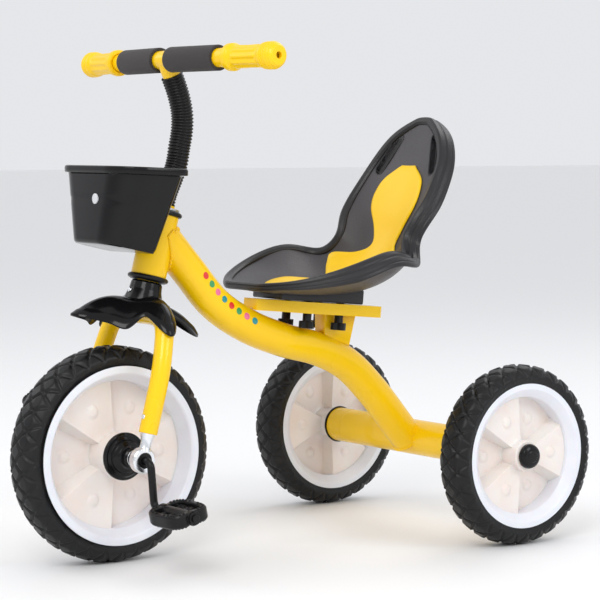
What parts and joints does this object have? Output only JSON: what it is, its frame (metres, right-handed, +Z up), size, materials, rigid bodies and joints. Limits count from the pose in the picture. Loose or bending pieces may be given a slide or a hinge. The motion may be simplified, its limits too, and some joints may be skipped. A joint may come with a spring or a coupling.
{
  "type": "children's tricycle",
  "caption": "Pedal tricycle for a small child with a swept tube frame, basket, ribbed stem, bucket seat on a slotted rail and foam tyres.",
  "frame": {"origin": "on the ground, at the middle of the whole tricycle's box", "axes": "+Z up, +X to the rider's left, and the front wheel towards -Y"},
  "size_m": [0.4504, 0.697, 0.6026],
  "materials": {
    "yellow_paint": "glossy powder coat",
    "yellow_plastic": "smooth moulded plastic",
    "black_plastic": "satin moulded plastic",
    "grey_plastic": "fine-grained satin moulded plastic",
    "white_plastic": "slightly translucent moulded plastic",
    "tyre": "moulded foam rubber with a block tread",
    "grip_foam": "soft closed-cell foam",
    "steel": "bright zinc or chrome plate"
  },
  "bodies": {
    "frame": {"main_tube": "yellow_paint", "head_tube": "yellow_paint", "rear_axle_tube": "yellow_paint", "rear_axle": "steel", "axle_bush_left": "black_plastic", "axle_bush_right": "black_plastic", "axle_nut_left": "steel", "axle_nut_right": "steel", "headset_cup_lower": "black_plastic", "headset_cup_upper": "black_plastic", "seat_rail": "yellow_paint", "rail_bracket": "yellow_paint"},
    "steering": {"fork_arch": "yellow_paint", "steerer_tube": "yellow_paint", "fender": "black_plastic", "fork_end_left": "steel", "fork_end_right": "steel", "fork_bush_left": "black_plastic", "fork_bush_right": "black_plastic", "lock_washer": "steel", "stem_tube": "yellow_paint", "stem_sleeve": "black_plastic", "handlebar": "yellow_paint", "foam_left": "grip_foam", "foam_right": "grip_foam", "grip_left": "yellow_plastic", "grip_right": "yellow_plastic", "basket": "black_plastic", "basket_bracket": "black_plastic"},
    "front_wheel": {"front_tyre": "tyre", "front_rim": "white_plastic", "hub_flange_left": "black_plastic", "hub_flange_right": "black_plastic", "hub_washer_left": "steel", "hub_washer_right": "steel", "crank_axle": "black_plastic", "pedal_clip_left": "steel", "pedal_clip_right": "steel"},
    "pedal_left": {"pedal_left": "black_plastic"},
    "pedal_right": {"pedal_right": "black_plastic"},
    "rear_wheel_left": {"rear_tyre_left": "tyre", "rear_rim_left": "white_plastic", "hubcap_left": "black_plastic"},
    "rear_wheel_right": {"rear_tyre_right": "tyre", "rear_rim_right": "white_plastic", "hubcap_right": "black_plastic"},
    "seat": {"seat_shell": "grey_plastic", "seat_insert": "yellow_plastic", "seat_bolt_front_left": "black_plastic", "seat_bolt_front_right": "black_plastic", "seat_bolt_rear_left": "black_plastic", "seat_bolt_rear_right": "black_plastic"},
    "knob_front_left": {"seat_knob_front_left": "black_plastic"},
    "knob_front_right": {"seat_knob_front_right": "black_plastic"},
    "knob_rear_left": {"seat_knob_rear_left": "black_plastic"},
    "knob_rear_right": {"seat_knob_rear_right": "black_plastic"}
  },
  "joints": [
    {"name": "steering_turn", "type": "hinge", "parent": "frame", "child": "steering", "pos_m": [0, -0.2215, 0.127], "axis": [0, 0.2504, 0.9681], "range_deg": [-45, 45]},
    {"name": "front_wheel_spin", "type": "hinge", "parent": "steering", "child": "front_wheel", "pos_m": [0, -0.2215, 0.127], "axis": [1, 0, 0], "continuous": true},
    {"name": "pedal_left_spin", "type": "hinge", "parent": "front_wheel", "child": "pedal_left", "pos_m": [0.138, -0.21679, 0.07321], "axis": [1, 0, 0], "continuous": true},
    {"name": "pedal_right_spin", "type": "hinge", "parent": "front_wheel", "child": "pedal_right", "pos_m": [-0.138, -0.22621, 0.1808], "axis": [1, 0, 0], "continuous": true},
    {"name": "rear_wheel_left_spin", "type": "hinge", "parent": "frame", "child": "rear_wheel_left", "pos_m": [0.1935, 0.2385, 0.11], "axis": [1, 0, 0], "continuous": true},
    {"name": "rear_wheel_right_spin", "type": "hinge", "parent": "frame", "child": "rear_wheel_right", "pos_m": [-0.1935, 0.2385, 0.11], "axis": [1, 0, 0], "continuous": true},
    {"name": "seat_slide", "type": "slide", "parent": "frame", "child": "seat", "axis": [0, 0.9957, -0.0924], "range_m": [-0.01, 0.01]},
    {"name": "knob_front_left_turn", "type": "hinge", "parent": "seat", "child": "knob_front_left", "pos_m": [0.022, 0.0492, 0.29442], "axis": [0, 0.0924, 0.9957], "range_deg": [0, 360]},
    {"name": "knob_front_right_turn", "type": "hinge", "parent": "seat", "child": "knob_front_right", "pos_m": [-0.022, 0.0492, 0.29442], "axis": [0, 0.0924, 0.9957], "range_deg": [0, 360]},
    {"name": "knob_rear_left_turn", "type": "hinge", "parent": "seat", "child": "knob_rear_left", "pos_m": [0.022, 0.09799, 0.28989], "axis": [0, 0.0924, 0.9957], "range_deg": [0, 360]},
    {"name": "knob_rear_right_turn", "type": "hinge", "parent": "seat", "child": "knob_rear_right", "pos_m": [-0.022, 0.09799, 0.28989], "axis": [0, 0.0924, 0.9957], "range_deg": [0, 360]}
  ]
}
